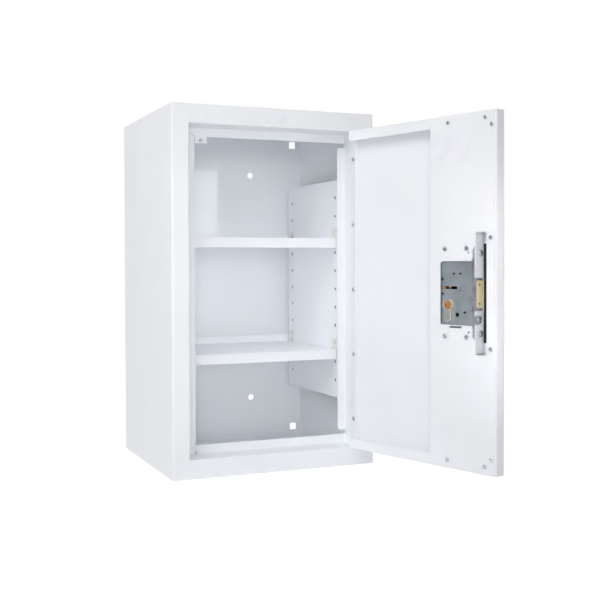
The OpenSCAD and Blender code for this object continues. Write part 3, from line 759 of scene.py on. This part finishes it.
def fixing_set(
    fixing: Fixing, name: str, spots: Sequence[Point], facing: Facing, place: Place, spin: float = 0.0
) -> Piece:
    """Models a fixing once and copies it to each of its places.

    Args:
        fixing: the fixing.
        name: the piece's name.
        spots: drawn places of the heads' undersides.
        facing: the way the heads stand.
        place: the frame they are drawn in.
        spin: degrees that each head is turned further than the last.

    Returns:
        One piece with every copy, in place.
    """
    first = fixing.build()
    start = FIRST_SPIN if spin else 0.0
    copies = [turned_copy(first, spot, facing, spin * i + start) for i, spot in enumerate(spots)]
    bpy.data.objects.remove(first)
    return set_in_place(gather(copies), name, place)


# ---------- Cabinet ----------


@dataclass
class CabinetBody:
    """The folded outer shell with its back panel and its front frame around the opening."""

    shell: tuple[str, ...] = ("left_wall", "right_wall", "roof", "base", "back_panel")
    frame_nodes: tuple[str, ...] = ("left_stile", "right_stile", "top_rail", "bottom_rail", "stop_strip")
    round_spot: Point = (50.4, 0.0, 533.25)
    round_plug: Fixing = Fixing(
        head=12.0, height=1.0, shank=10.0, length=2.2, recess=Recess.NONE, recess_size=0.0, dome=0.6
    )
    oval_spot: Point = (166.0, 0.0, 535.75)
    oval_size: tuple[float, float] = (37.5, 16.0)
    oval_head: float = 1.0
    # the oval plug's flat top inside its rim, its skirt behind the sheet and its rolled rim
    oval_rim: float = 0.9
    oval_skirt_in: float = 1.0
    oval_skirt: float = 2.2
    oval_round: float = 0.55
    # edges within this distance of the oval's outline are its rim
    oval_reach: float = 0.4

    def dress(self, frame: dict, finishes: Finishes) -> None:
        """Finishes the shell and frame nodes.

        Args:
            finishes: the shared finishes.
        """
        dress(frame, finishes.coat, *self.shell, *self.frame_nodes)

    def build(self, finishes: Finishes) -> None:
        """Models the two blanking plugs.

        Args:
            finishes: the shared finishes.
        """
        spots = [self.round_spot]
        piece = fixing_set(self.round_plug, "round_plug_cap", spots, Facing.TO_FRONT, Place.CABINET)
        fit(piece, finishes.plastic, "white_plastic", "cabinet", "round_plug")
        fit(self._oval_plug(), finishes.plastic, "white_plastic", "cabinet", "oval_plug")

    def _oval_plug(self) -> Piece:
        """Draws a cylinder out to an oval, crowns its head and puts its snap-in skirt behind the sheet."""
        width, height = self.oval_size
        spread = (width - height) / 2
        piece = rod(height, 0.0, self.oval_head, 40)
        bpy.ops.object.mode_set(mode="EDIT")
        spread_sides(piece, spread)
        pick(piece, "FACE", lambda at, way: way.z > ALONG)
        bpy.ops.mesh.inset(thickness=self.oval_rim, depth=0.0)
        pick(piece, "FACE", lambda at, way: way.z < -ALONG)
        bpy.ops.mesh.inset(thickness=self.oval_skirt_in, depth=0.0)
        bpy.ops.mesh.extrude_region_move(TRANSFORM_OT_translate={"value": (0, 0, -self.oval_skirt)})
        # the head's outer edge is rolled over
        pick(
            piece,
            "EDGE",
            lambda at, way: at.z > self.oval_head - NEAR
            and math.hypot(max(abs(at.x) - spread, 0), at.y) > height / 2 - self.oval_reach,
        )
        bpy.ops.mesh.bevel(offset=self.oval_round, segments=4, profile=0.5, affect="EDGES")
        bpy.ops.object.mode_set(mode="OBJECT")
        copy = turned_copy(piece, self.oval_spot, Facing.TO_FRONT)
        bpy.data.objects.remove(piece)
        return set_in_place(copy, "oval_plug_cap", Place.CABINET)


@dataclass
class Shelving:
    """Two perforated liners with near-black sheets of painted shade behind their holes, eight clips and two
    lift-off shelves.
    """

    coated: tuple[str, ...] = ("left_liner", "right_liner", "upper_shelf", "lower_shelf")
    clips: tuple[str, ...] = ("upper_clips", "lower_clips")
    # the left sheet of painted shade; the right one mirrors it
    hole_shade_x: tuple[float, float] = (33.0, 35.0)
    hole_shade_y: tuple[float, float] = (43.5, 232.5)
    hole_shade_z: tuple[float, float] = (101.0, 449.0)
    hole_shade_round: float = 0.4

    def dress(self, frame: dict, finishes: Finishes) -> None:
        """Finishes the liners, shelves and clips.

        Args:
            finishes: the shared finishes.
        """
        dress(frame, finishes.coat, *self.coated)
        dress(frame, finishes.lacquer, *self.clips)

    def build(self, finishes: Finishes) -> None:
        """Stands a near-black sheet inside each liner: painted shade, so that the spare holes look dark.

        Args:
            finishes: the shared finishes.
        """
        (x0, x1), (y0, y1), (z0, z1) = self.hole_shade_x, self.hole_shade_y, self.hole_shade_z
        sheets = [
            brick((x0, y0, z0), (x1, y1, z1)),
            brick((FRAME.width - x1, y0, z0), (FRAME.width - x0, y1, z1)),
        ]
        for sheet in sheets:
            soften(sheet, self.hole_shade_round)
        piece = set_in_place(gather(sheets), "liner_hole_shade", Place.CABINET)
        # the sheets are painted shade behind the spare holes
        fit(piece, finishes.shade_black, "black_rubber", "cabinet")


@dataclass
class PianoHinge:
    """The continuous hinge on the right jamb, held by five tubular rivets."""

    rivet_spots: tuple[Point, ...] = tuple((301.0, 7.5, z) for z in (71.0, 173.0, 275.0, 377.0, 479.0))
    rivet: Fixing = Fixing(
        head=7.0, height=1.4, shank=3.4, length=1.9, recess=Recess.HOLE, recess_size=2.6, dome=0.75
    )

    def dress(self, frame: dict, finishes: Finishes) -> None:
        """Finishes the leaves and the pin.

        Args:
            finishes: the shared finishes.
        """
        dress(frame, finishes.coat, "hinge_frame_leaf", "hinge_door_leaf")
        dress(frame, finishes.zinc, "hinge_pin")

    def build(self, finishes: Finishes) -> None:
        """Models the rivets: a domed head with the open end of its tube in the middle.

        Args:
            finishes: the shared finishes.
        """
        piece = fixing_set(self.rivet, "hinge_rivet_set", self.rivet_spots, Facing.TO_LEFT, Place.CABINET)
        fit(piece, finishes.zinc, "zinc_steel", "cabinet", "hinge_screws")


# ---------- Door ----------


@dataclass
class DoorLeaf:
    """The pan, its cover plate over the lock, the cover's socket screws and a blank plate."""

    folds: tuple[str, ...] = ("door_skin", "door_top_fold", "door_bottom_fold")
    coated: tuple[str, ...] = (*folds, "cover_plate", "lock_bracket")
    cover_spots: tuple[Spot, ...] = (
        (106.7, 510.4),
        (44.8, 510.9),
        (34.6, 500.7),
        (108.1, 40.8),
        (45.9, 40.8),
        (35.8, 50.7),
        (36.2, 349.8),
        (36.2, 199.8),
    )
    cover_screw: Fixing = Fixing(
        head=6.6, height=1.4, shank=3.0, length=2.3, recess=Recess.HEX, recess_size=3.4, dome=0.8
    )
    cover_spin: float = 23.0
    # the blank plate's corners in x and z
    plate_low: tuple[float, float] = (67.2, 453.3)
    plate_high: tuple[float, float] = (133.2, 500.3)
    plate_t: float = 0.3
    plate_corner: float = 2.0
    plate_edge: float = 0.25

    def dress(self, frame: dict, finishes: Finishes) -> None:
        """Finishes the door's sheets, and the strip in its channel in near-black painted shade.

        Args:
            finishes: the shared finishes.
        """
        dress(frame, finishes.coat, *self.coated)
        # the channel strip is near black: painted shade on the channel's floor, where there is only a shaded
        # gap
        dress(frame, finishes.shade_black, "channel_strip")

    def build(self, finishes: Finishes) -> None:
        """Models the cover screws and the blank plate.

        Args:
            finishes: the shared finishes.
        """
        spots = [(x, FRAME.cover_y, z) for x, z in self.cover_spots]
        piece = fixing_set(
            self.cover_screw, "cover_screw_set", spots, Facing.INTO_CABINET, Place.DOOR, self.cover_spin
        )
        fit(piece, finishes.zinc, "zinc_steel", "door", "cover_screws")
        fit(self._blank_plate(), finishes.film, "label_film", "door", "label_plate")

    def _blank_plate(self) -> Piece:
        """Rounds a thin film's corners and marks off its edge."""
        (x0, z0), (x1, z1) = self.plate_low, self.plate_high
        piece = brick((x0, FRAME.cover_y, z0), (x1, FRAME.cover_y + self.plate_t, z1))
        bpy.ops.object.mode_set(mode="EDIT")
        pick(piece, "EDGE", lambda at, way: abs(way.y) > ALONG)
        bpy.ops.mesh.bevel(offset=self.plate_corner, segments=5, profile=0.5, affect="EDGES")
        pick(piece, "FACE", lambda at, way: way.y > ALONG)
        bpy.ops.mesh.inset(thickness=self.plate_edge, depth=0.0)
        bpy.ops.object.mode_set(mode="OBJECT")
        return set_in_place(piece, "blank_plate", Place.DOOR)


@dataclass
class MorticeLock:
    """A cased deadlock with a two-layer forend, a profile cylinder and a brass bolt with hardened pins."""

    forend: tuple[str, ...] = ("inner_forend", "outer_forend")
    bracket_spots: tuple[Spot, ...] = ((75.3, 335.8), (75.3, 213.8), (112.1, 335.8), (112.1, 213.8))
    bracket_screw: Fixing = Fixing(
        head=7.6, height=1.4, shank=3.0, length=2.6, recess=Recess.CROSS, recess_size=4.4, dome=0.75
    )
    bracket_spin: float = 31.0
    rivet_spots: tuple[Spot, ...] = ((71.9, 330.0), (71.9, 221.0))
    rivet: Fixing = Fixing(
        head=3.2, height=0.7, shank=1.6, length=0.0001, recess=Recess.HOLE, recess_size=1.4, dome=0.6
    )
    forend_heights: tuple[float, ...] = (329.2, 219.2)
    forend_screw: Fixing = Fixing(
        head=9.6, height=1.4, shank=4.0, length=9.5, recess=Recess.HEX, recess_size=3.4, dome=0.8
    )
    forend_spin: float = 41.0
    # the cylinder's axis in x and z, and its screw, which sits below it and sunk into the forend
    cylinder: tuple[float, float] = (108.5, 257.6)
    cylinder_drop: float = 20.0
    cylinder_sunk: float = 1.5
    cylinder_screw: Fixing = Fixing(
        head=8.4, height=1.0, shank=4.8, length=45.8, recess=Recess.HEX, recess_size=3.4, dome=0.6
    )
    # the bolt's head, then its tail behind, which rises in a lug at its end
    bolt_x: tuple[float, float] = (61.4, 91.4)
    bolt_y: tuple[float, float] = (3.4, 15.4)
    bolt_z: tuple[float, float] = (254.0, 292.0)
    bolt_round: float = 0.6
    tail_x1: float = 122.3
    tail_y: tuple[float, float] = (3.4, 5.4)
    tail_z: tuple[float, float] = (272.8, 279.2)
    tail_into: float = 0.5
    lug_x0: float = 113.3
    lug_z1: float = 284.9
    # hardened pins in the bolt's end, either side of its middle
    pin: Fixing = Fixing(
        head=4.0, height=0.19, shank=3.4, length=11.0, recess=Recess.HOLE, recess_size=2.2, dome=0.5
    )
    pin_y: float = 10.4
    pin_from_middle: float = 13.0
    # the oval stump that runs in the lid's slot: its foot, width, thickness and length
    stump: Point = (117.3, 5.4, 281.5)
    stump_size: tuple[float, float, float] = (6.6, 3.4, 11.2)
    stump_round: float = 0.4
    # each key plug from its root to its face, in y
    plug_d: float = 13.0
    plug_inside: tuple[float, float] = (14.4, 19.9)
    plug_outside: tuple[float, float] = (4.4, -5.4)
    # the plug's raised rim, the step down to its dished face and the ring on that face
    plug_rim: float = 0.7
    plug_step: tuple[float, float] = (0.25, -0.22)
    plug_ring: float = 1.6
    plug_round: float = 0.12
    # the keyway's blade slot and the ward across it, their low and high corners across the plug
    keyway: tuple[tuple[float, float, float, float], ...] = ((-1.2, -4.0, 1.2, 4.0), (-2.0, 0.6, 2.0, 2.4))
    keyway_depth: float = 3.0
    keyway_over: float = 1.0

    def dress(self, frame: dict, finishes: Finishes) -> None:
        """Finishes the lock's nodes.

        Args:
            finishes: the shared finishes.
        """
        # the case's near black is painted shade, seen through the lid's holes
        dress(frame, finishes.black, "lock_case")
        dress(frame, finishes.grey, "case_lid")
        dress(frame, finishes.satin, *self.forend, "escutcheon", "case_posts")
        dress(frame, finishes.zinc, "cam_spindle")
        dress(frame, finishes.nickel, "cylinder_body")
        dress(frame, finishes.worn, "lock_cam")

    def build(self, finishes: Finishes) -> None:
        """Models the lock's screws, rivets, bolt, pins and key plugs.

        Args:
            finishes: the shared finishes.
        """
        spots = [(x, FRAME.cover_y, z) for x, z in self.bracket_spots]
        piece = fixing_set(
            self.bracket_screw, "bracket_screw_set", spots, Facing.INTO_CABINET, Place.DOOR, self.bracket_spin
        )
        fit(piece, finishes.zinc, "zinc_steel", "door", "bracket_screws")

        spots = [(x, FRAME.cover_y, z) for x, z in self.rivet_spots]
        piece = fixing_set(self.rivet, "bracket_rivet_set", spots, Facing.INTO_CABINET, Place.DOOR)
        fit(piece, finishes.zinc, "zinc_steel", "door", "bracket_rivets")

        spots = [(FRAME.channel_x1, FRAME.lock_y, z) for z in self.forend_heights]
        piece = fixing_set(
            self.forend_screw, "forend_screw_set", spots, Facing.TO_LEFT, Place.DOOR, self.forend_spin
        )
        fit(piece, finishes.zinc, "zinc_steel", "door", "forend_screws")

        spot = (FRAME.channel_x1 + self.cylinder_sunk, FRAME.lock_y, self.cylinder[1] - self.cylinder_drop)
        piece = fixing_set(self.cylinder_screw, "cylinder_fixing", [spot], Facing.TO_LEFT, Place.DOOR)
        fit(piece, finishes.zinc, "zinc_steel", "door", "cylinder_screw")

        # the bolt's pale brass is painted light, bright though it sits in the channel's shade
        fit(self._bolt(), finishes.brass, "plain_brass", "bolt", "deadbolt")
        fit(self._pins(), finishes.worn, "dark_brass", "bolt", "bolt_pins")
        fit(self._key_plugs(), finishes.worn, "dark_brass", "key_turn", "key_plugs")

    def _bolt(self) -> Piece:
        """Joins the tail and its lug to the head's rear face and rounds every edge."""
        (x0, x1), (y0, y1), (z0, z1) = self.bolt_x, self.bolt_y, self.bolt_z
        piece = brick((x0, y0, z0), (x1, y1, z1))
        (near, far), (low, high) = self.tail_y, self.tail_z
        tail = brick((x1 - self.tail_into, near, low), (self.tail_x1, far, high))
        lug = brick((self.lug_x0, near, low), (self.tail_x1, far, self.lug_z1))
        for limb in (tail, lug):
            combine(piece, limb, "UNION")
        soften(piece, self.bolt_round, 3)
        return set_in_place(piece, "brass_bolt", Place.DOOR)

    def _pins(self) -> Piece:
        """Models the two hardened pins in the bolt's end and the guide stump in the lid's slot."""
        middle = (self.bolt_z[0] + self.bolt_z[1]) / 2
        first = self.pin.build()
        pins = [
            turned_copy(
                first, (self.bolt_x[0], self.pin_y, middle + side * self.pin_from_middle), Facing.TO_LEFT
            )
            for side in (-1, 1)
        ]
        bpy.data.objects.remove(first)
        width, thick, length = self.stump_size
        stump = rod(thick, 0.0, length)
        bpy.ops.object.mode_set(mode="EDIT")
        spread_sides(stump, (width - thick) / 2)
        pick(stump, "FACE", lambda at, way: way.z > ALONG)
        bpy.ops.mesh.bevel(offset=self.stump_round, segments=3, profile=0.5, affect="EDGES")
        bpy.ops.object.mode_set(mode="OBJECT")
        pins.append(turned_copy(stump, self.stump, Facing.INTO_CABINET))
        bpy.data.objects.remove(stump)
        return set_in_place(gather(pins), "hardened_pins", Place.DOOR)

    def _key_plugs(self) -> Piece:
        """Turns the two key plugs: a raised rim, a dished face and the keyway through it."""
        x, z = self.cylinder
        plugs = []
        for (root, face), facing in (
            (self.plug_inside, Facing.INTO_CABINET),
            (self.plug_outside, Facing.TO_FRONT),
        ):
            length = abs(face - root)
            piece = rod(self.plug_d, 0.0, length, 48)
            bpy.ops.object.mode_set(mode="EDIT")
            pick(piece, "FACE", lambda at, way: way.z > ALONG)
            bpy.ops.mesh.inset(thickness=self.plug_rim, depth=0.0)
            bpy.ops.mesh.inset(thickness=self.plug_step[0], depth=self.plug_step[1])
            bpy.ops.mesh.inset(thickness=self.plug_ring, depth=0.0)
            bpy.ops.object.mode_set(mode="OBJECT")
            low, high = length - self.keyway_depth, length + self.keyway_over
            for tool in [brick((x0, y0, low), (x1, y1, high)) for x0, y0, x1, y1 in self.keyway]:
                combine(piece, tool, "DIFFERENCE")
            soften(piece, self.plug_round)
            plugs.append(turned_copy(piece, (x, root, z), facing))
            bpy.data.objects.remove(piece)
        return set_in_place(gather(plugs), "key_plug_pair", Place.DOOR)


# ---------- Studio ----------


@dataclass(frozen=True)
class Lamp:
    """A rectangular area lamp: its place and target in metres, its width and height, and its beam's angle."""

    name: str
    at: Point
    target: Point
    size: tuple[float, float]
    watts: float
    spread: float = 180.0

    def build(self) -> None:
        """Adds the lamp, which the camera doesn't see."""
        data = bpy.data.lights.new(self.name, "AREA")
        data.spread = math.radians(self.spread)
        data.shape = "RECTANGLE"
        data.size, data.size_y = self.size
        data.energy = self.watts
        lamp = bpy.data.objects.new(self.name, data)
        bpy.context.scene.collection.objects.link(lamp)
        lamp.location = self.at
        lamp.rotation_euler = (Vector(self.target) - Vector(self.at)).to_track_quat("-Z", "Y").to_euler()
        lamp.visible_camera = False


@dataclass
class Studio:
    """A white sweep under soft light, and the camera."""

    camera_at: Point = (-0.57069, -1.43681, 0.31462)
    yaw: float = 21.6624
    pitch: float = -1.0312
    roll: float = -0.2267
    lens: float = 56.30
    shift: tuple[float, float] = (0.0934, -0.0306)
    # the room: its light, faintly blue for the paint's sake, and the white that the camera sees
    sky: float = 0.385
    sky_tint: tuple[float, float, float, float] = (0.985, 0.978, 1.0, 1.0)
    backdrop: float = 1.0
    # the floor's share of real shading, so that it keeps a faint shadow, and its glow for the rest
    floor_size: float = 12.0
    floor_colour: str = "FAFAFC"
    floor_blend: float = 0.18
    floor_glow: float = 1.15
    # a white box lights its own inside by many diffuse bounces
    bounces: int = 12
    lamps: tuple[Lamp, ...] = (
        # two large softboxes on the left: the key light and its fill
        Lamp("high_softbox", (-1.46, -0.993, 1.694), (0.0, -0.15, 0.28), (1.4, 1.4), 19.0),
        Lamp("low_softbox", (-1.083, -2.026, 0.662), (0.0, -0.15, 0.28), (1.4, 1.4), 4.8),
        # narrower beams into the opening and onto the lock
        Lamp("opening_beam", (-0.75, -2.05, 0.43), (0.0, 0.05, 0.28), (0.4, 0.5), 0.21, 25.0),
        Lamp("lock_beam", (-0.557, -2.090, 0.379), (0.245, -0.37, 0.28), (0.1, 0.3), 0.04, 6.0),
        # the back and the right side, for views from behind
        Lamp("rear_softbox", (1.7, 1.0, 0.9), (0.0, 0.0, 0.28), (1.4, 1.4), 14.0),
        # the bright patch on the back panel between roof and upper shelf
        Lamp("window_patch", (-0.030, -0.06, 0.4225), (-0.030, 0.13, 0.4225), (0.066, 0.116), 0.0036, 3.0),
        # an even lift inside the box
        Lamp("interior_fill", (-0.0015, -0.07, 0.275), (-0.0015, 1.0, 0.275), (0.22, 0.44), 0.055),
    )
    # a dark card for bare metal to reflect: its place, the spot it faces at its own height, and its size
    flag_at: Point = (-1.31, 0.18, 0.45)
    flag_faces: tuple[float, float] = (0.22, -0.28)
    flag_size: tuple[float, float] = (0.85, 1.3)
    flag_colour: str = "1C2224"

    def build(self) -> None:
        """Makes the world, the floor, the lamps and the camera."""
        cycles = bpy.context.scene.cycles
        cycles.diffuse_bounces = self.bounces
        cycles.max_bounces = self.bounces + 4
        self._world()
        self._floor()
        for lamp in self.lamps:
            lamp.build()
        self._flag()
        self._camera()

    def _world(self) -> None:
        """Lights everything with an even white, and shows the camera a pure white."""
        world = bpy.data.worlds.new("white_room")
        bpy.context.scene.world = world
        world.use_nodes = True
        tree = world.node_tree
        tree.nodes.clear()
        light = add_node(tree, "ShaderNodeBackground", {"Color": self.sky_tint, "Strength": self.sky})
        shown = add_node(tree, "ShaderNodeBackground", {"Color": (1, 1, 1, 1), "Strength": self.backdrop})
        path = add_node(tree, "ShaderNodeLightPath")
        mix = add_node(
            tree,
            "ShaderNodeMixShader",
            None,
            {0: self._seen(tree, path), 1: light.outputs["Background"], 2: shown.outputs["Background"]},
        )
        add_node(tree, "ShaderNodeOutputWorld", None, {"Surface": mix.outputs["Shader"]})

    def _seen(self, tree: Tree, path: bpy.types.Node) -> Socket:
        """Gives 1 for rays from the camera, in a mirror or through glass."""
        both = add_node(
            tree,
            "ShaderNodeMath",
            None,
            {0: path.outputs["Is Camera Ray"], 1: path.outputs["Is Glossy Ray"]},
            operation="MAXIMUM",
        )
        every = add_node(
            tree,
            "ShaderNodeMath",
            None,
            {0: both.outputs["Value"], 1: path.outputs["Is Transmission Ray"]},
            operation="MAXIMUM",
        )
        return every.outputs["Value"]

    def _floor(self) -> None:
        """Lays a wide white floor that keeps a faint shadow under the cabinet."""
        wipe_selection()
        bpy.ops.mesh.primitive_plane_add(size=self.floor_size, location=(0, 0, 0))
        floor = bpy.context.active_object
        floor.name = "studio_floor"
        material, tree = blank_material("white_sweep")
        matt = add_node(tree, "ShaderNodeBsdfDiffuse", {"Color": linear(self.floor_colour), "Roughness": 0.4})
        glow = add_node(tree, "ShaderNodeEmission", {"Color": (1, 1, 1, 1), "Strength": self.floor_glow})
        path = add_node(tree, "ShaderNodeLightPath")
        share = add_node(
            tree,
            "ShaderNodeMath",
            {1: 1.0 - self.floor_blend},
            {0: self._seen(tree, path)},
            operation="MULTIPLY",
        )
        mix = add_node(
            tree,
            "ShaderNodeMixShader",
            None,
            {0: share.outputs["Value"], 1: matt.outputs["BSDF"], 2: glow.outputs["Emission"]},
        )
        add_node(tree, "ShaderNodeOutputMaterial", None, {"Surface": mix.outputs["Shader"]})
        floor.data.materials.append(material)

    def _flag(self) -> None:
        """Stands a dark card beside the set, which bare metal reflects and nothing else sees."""
        wipe_selection()
        bpy.ops.mesh.primitive_plane_add(size=1, location=(0, 0, 0))
        flag = bpy.context.active_object
        flag.name = "dark_flag"
        at = Vector(self.flag_at)
        turn = (Vector((*self.flag_faces, at.z)) - at).to_track_quat("Z", "Y").to_matrix().to_4x4()
        flag.matrix_world = Matrix.Translation(at) @ turn @ Matrix.Diagonal((*self.flag_size, 1, 1))
        bpy.ops.object.transform_apply(location=True, rotation=True, scale=True)
        material, tree = blank_material("black_velvet")
        matt = add_node(tree, "ShaderNodeBsdfDiffuse", {"Color": linear(self.flag_colour), "Roughness": 1.0})
        add_node(tree, "ShaderNodeOutputMaterial", None, {"Surface": matt.outputs["BSDF"]})
        flag.data.materials.append(material)
        flag.visible_camera = flag.visible_diffuse = flag.visible_shadow = flag.visible_transmission = False

    def _camera(self) -> None:
        """Places the camera by its yaw right of +Y, its pitch and its roll."""
        data = bpy.data.cameras.new("camera")
        data.sensor_width = 36.0
        data.sensor_fit = "HORIZONTAL"
        data.lens = self.lens
        data.shift_x, data.shift_y = self.shift
        camera = bpy.data.objects.new("camera", data)
        bpy.context.scene.collection.objects.link(camera)
        yaw, pitch, roll = (math.radians(v) for v in (self.yaw, self.pitch, self.roll))
        forward = Vector((math.sin(yaw) * math.cos(pitch), math.cos(yaw) * math.cos(pitch), math.sin(pitch)))
        flat_right = Vector((math.cos(yaw), -math.sin(yaw), 0))
        flat_up = flat_right.cross(forward)
        right = flat_right * math.cos(roll) + flat_up * math.sin(roll)
        up = -flat_right * math.sin(roll) + flat_up * math.cos(roll)
        turn = Matrix((right, up, -forward)).transposed().to_4x4()
        camera.matrix_world = Matrix.Translation(self.camera_at) @ turn
        bpy.context.scene.camera = camera


def write_sizes() -> None:
    """Logs a line; it writes no sizes.
    """
    LOG.info("sizes written")


def main() -> None:
    """Builds the cabinet's sub-assemblies in order over the CAD frame, then the studio."""
    logging.basicConfig(level=logging.INFO, format="%(message)s")
    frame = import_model()
    finishes = Finishes()
    parts = (CabinetBody(), Shelving(), PianoHinge(), DoorLeaf(), MorticeLock())
    for part in parts:
        part.dress(frame, finishes)
    for part in parts:
        part.build(finishes)
    Studio().build()
    bpy.context.scene.view_settings.view_transform = "Standard"
    write_sizes()


if __name__ == "__main__":
    main()
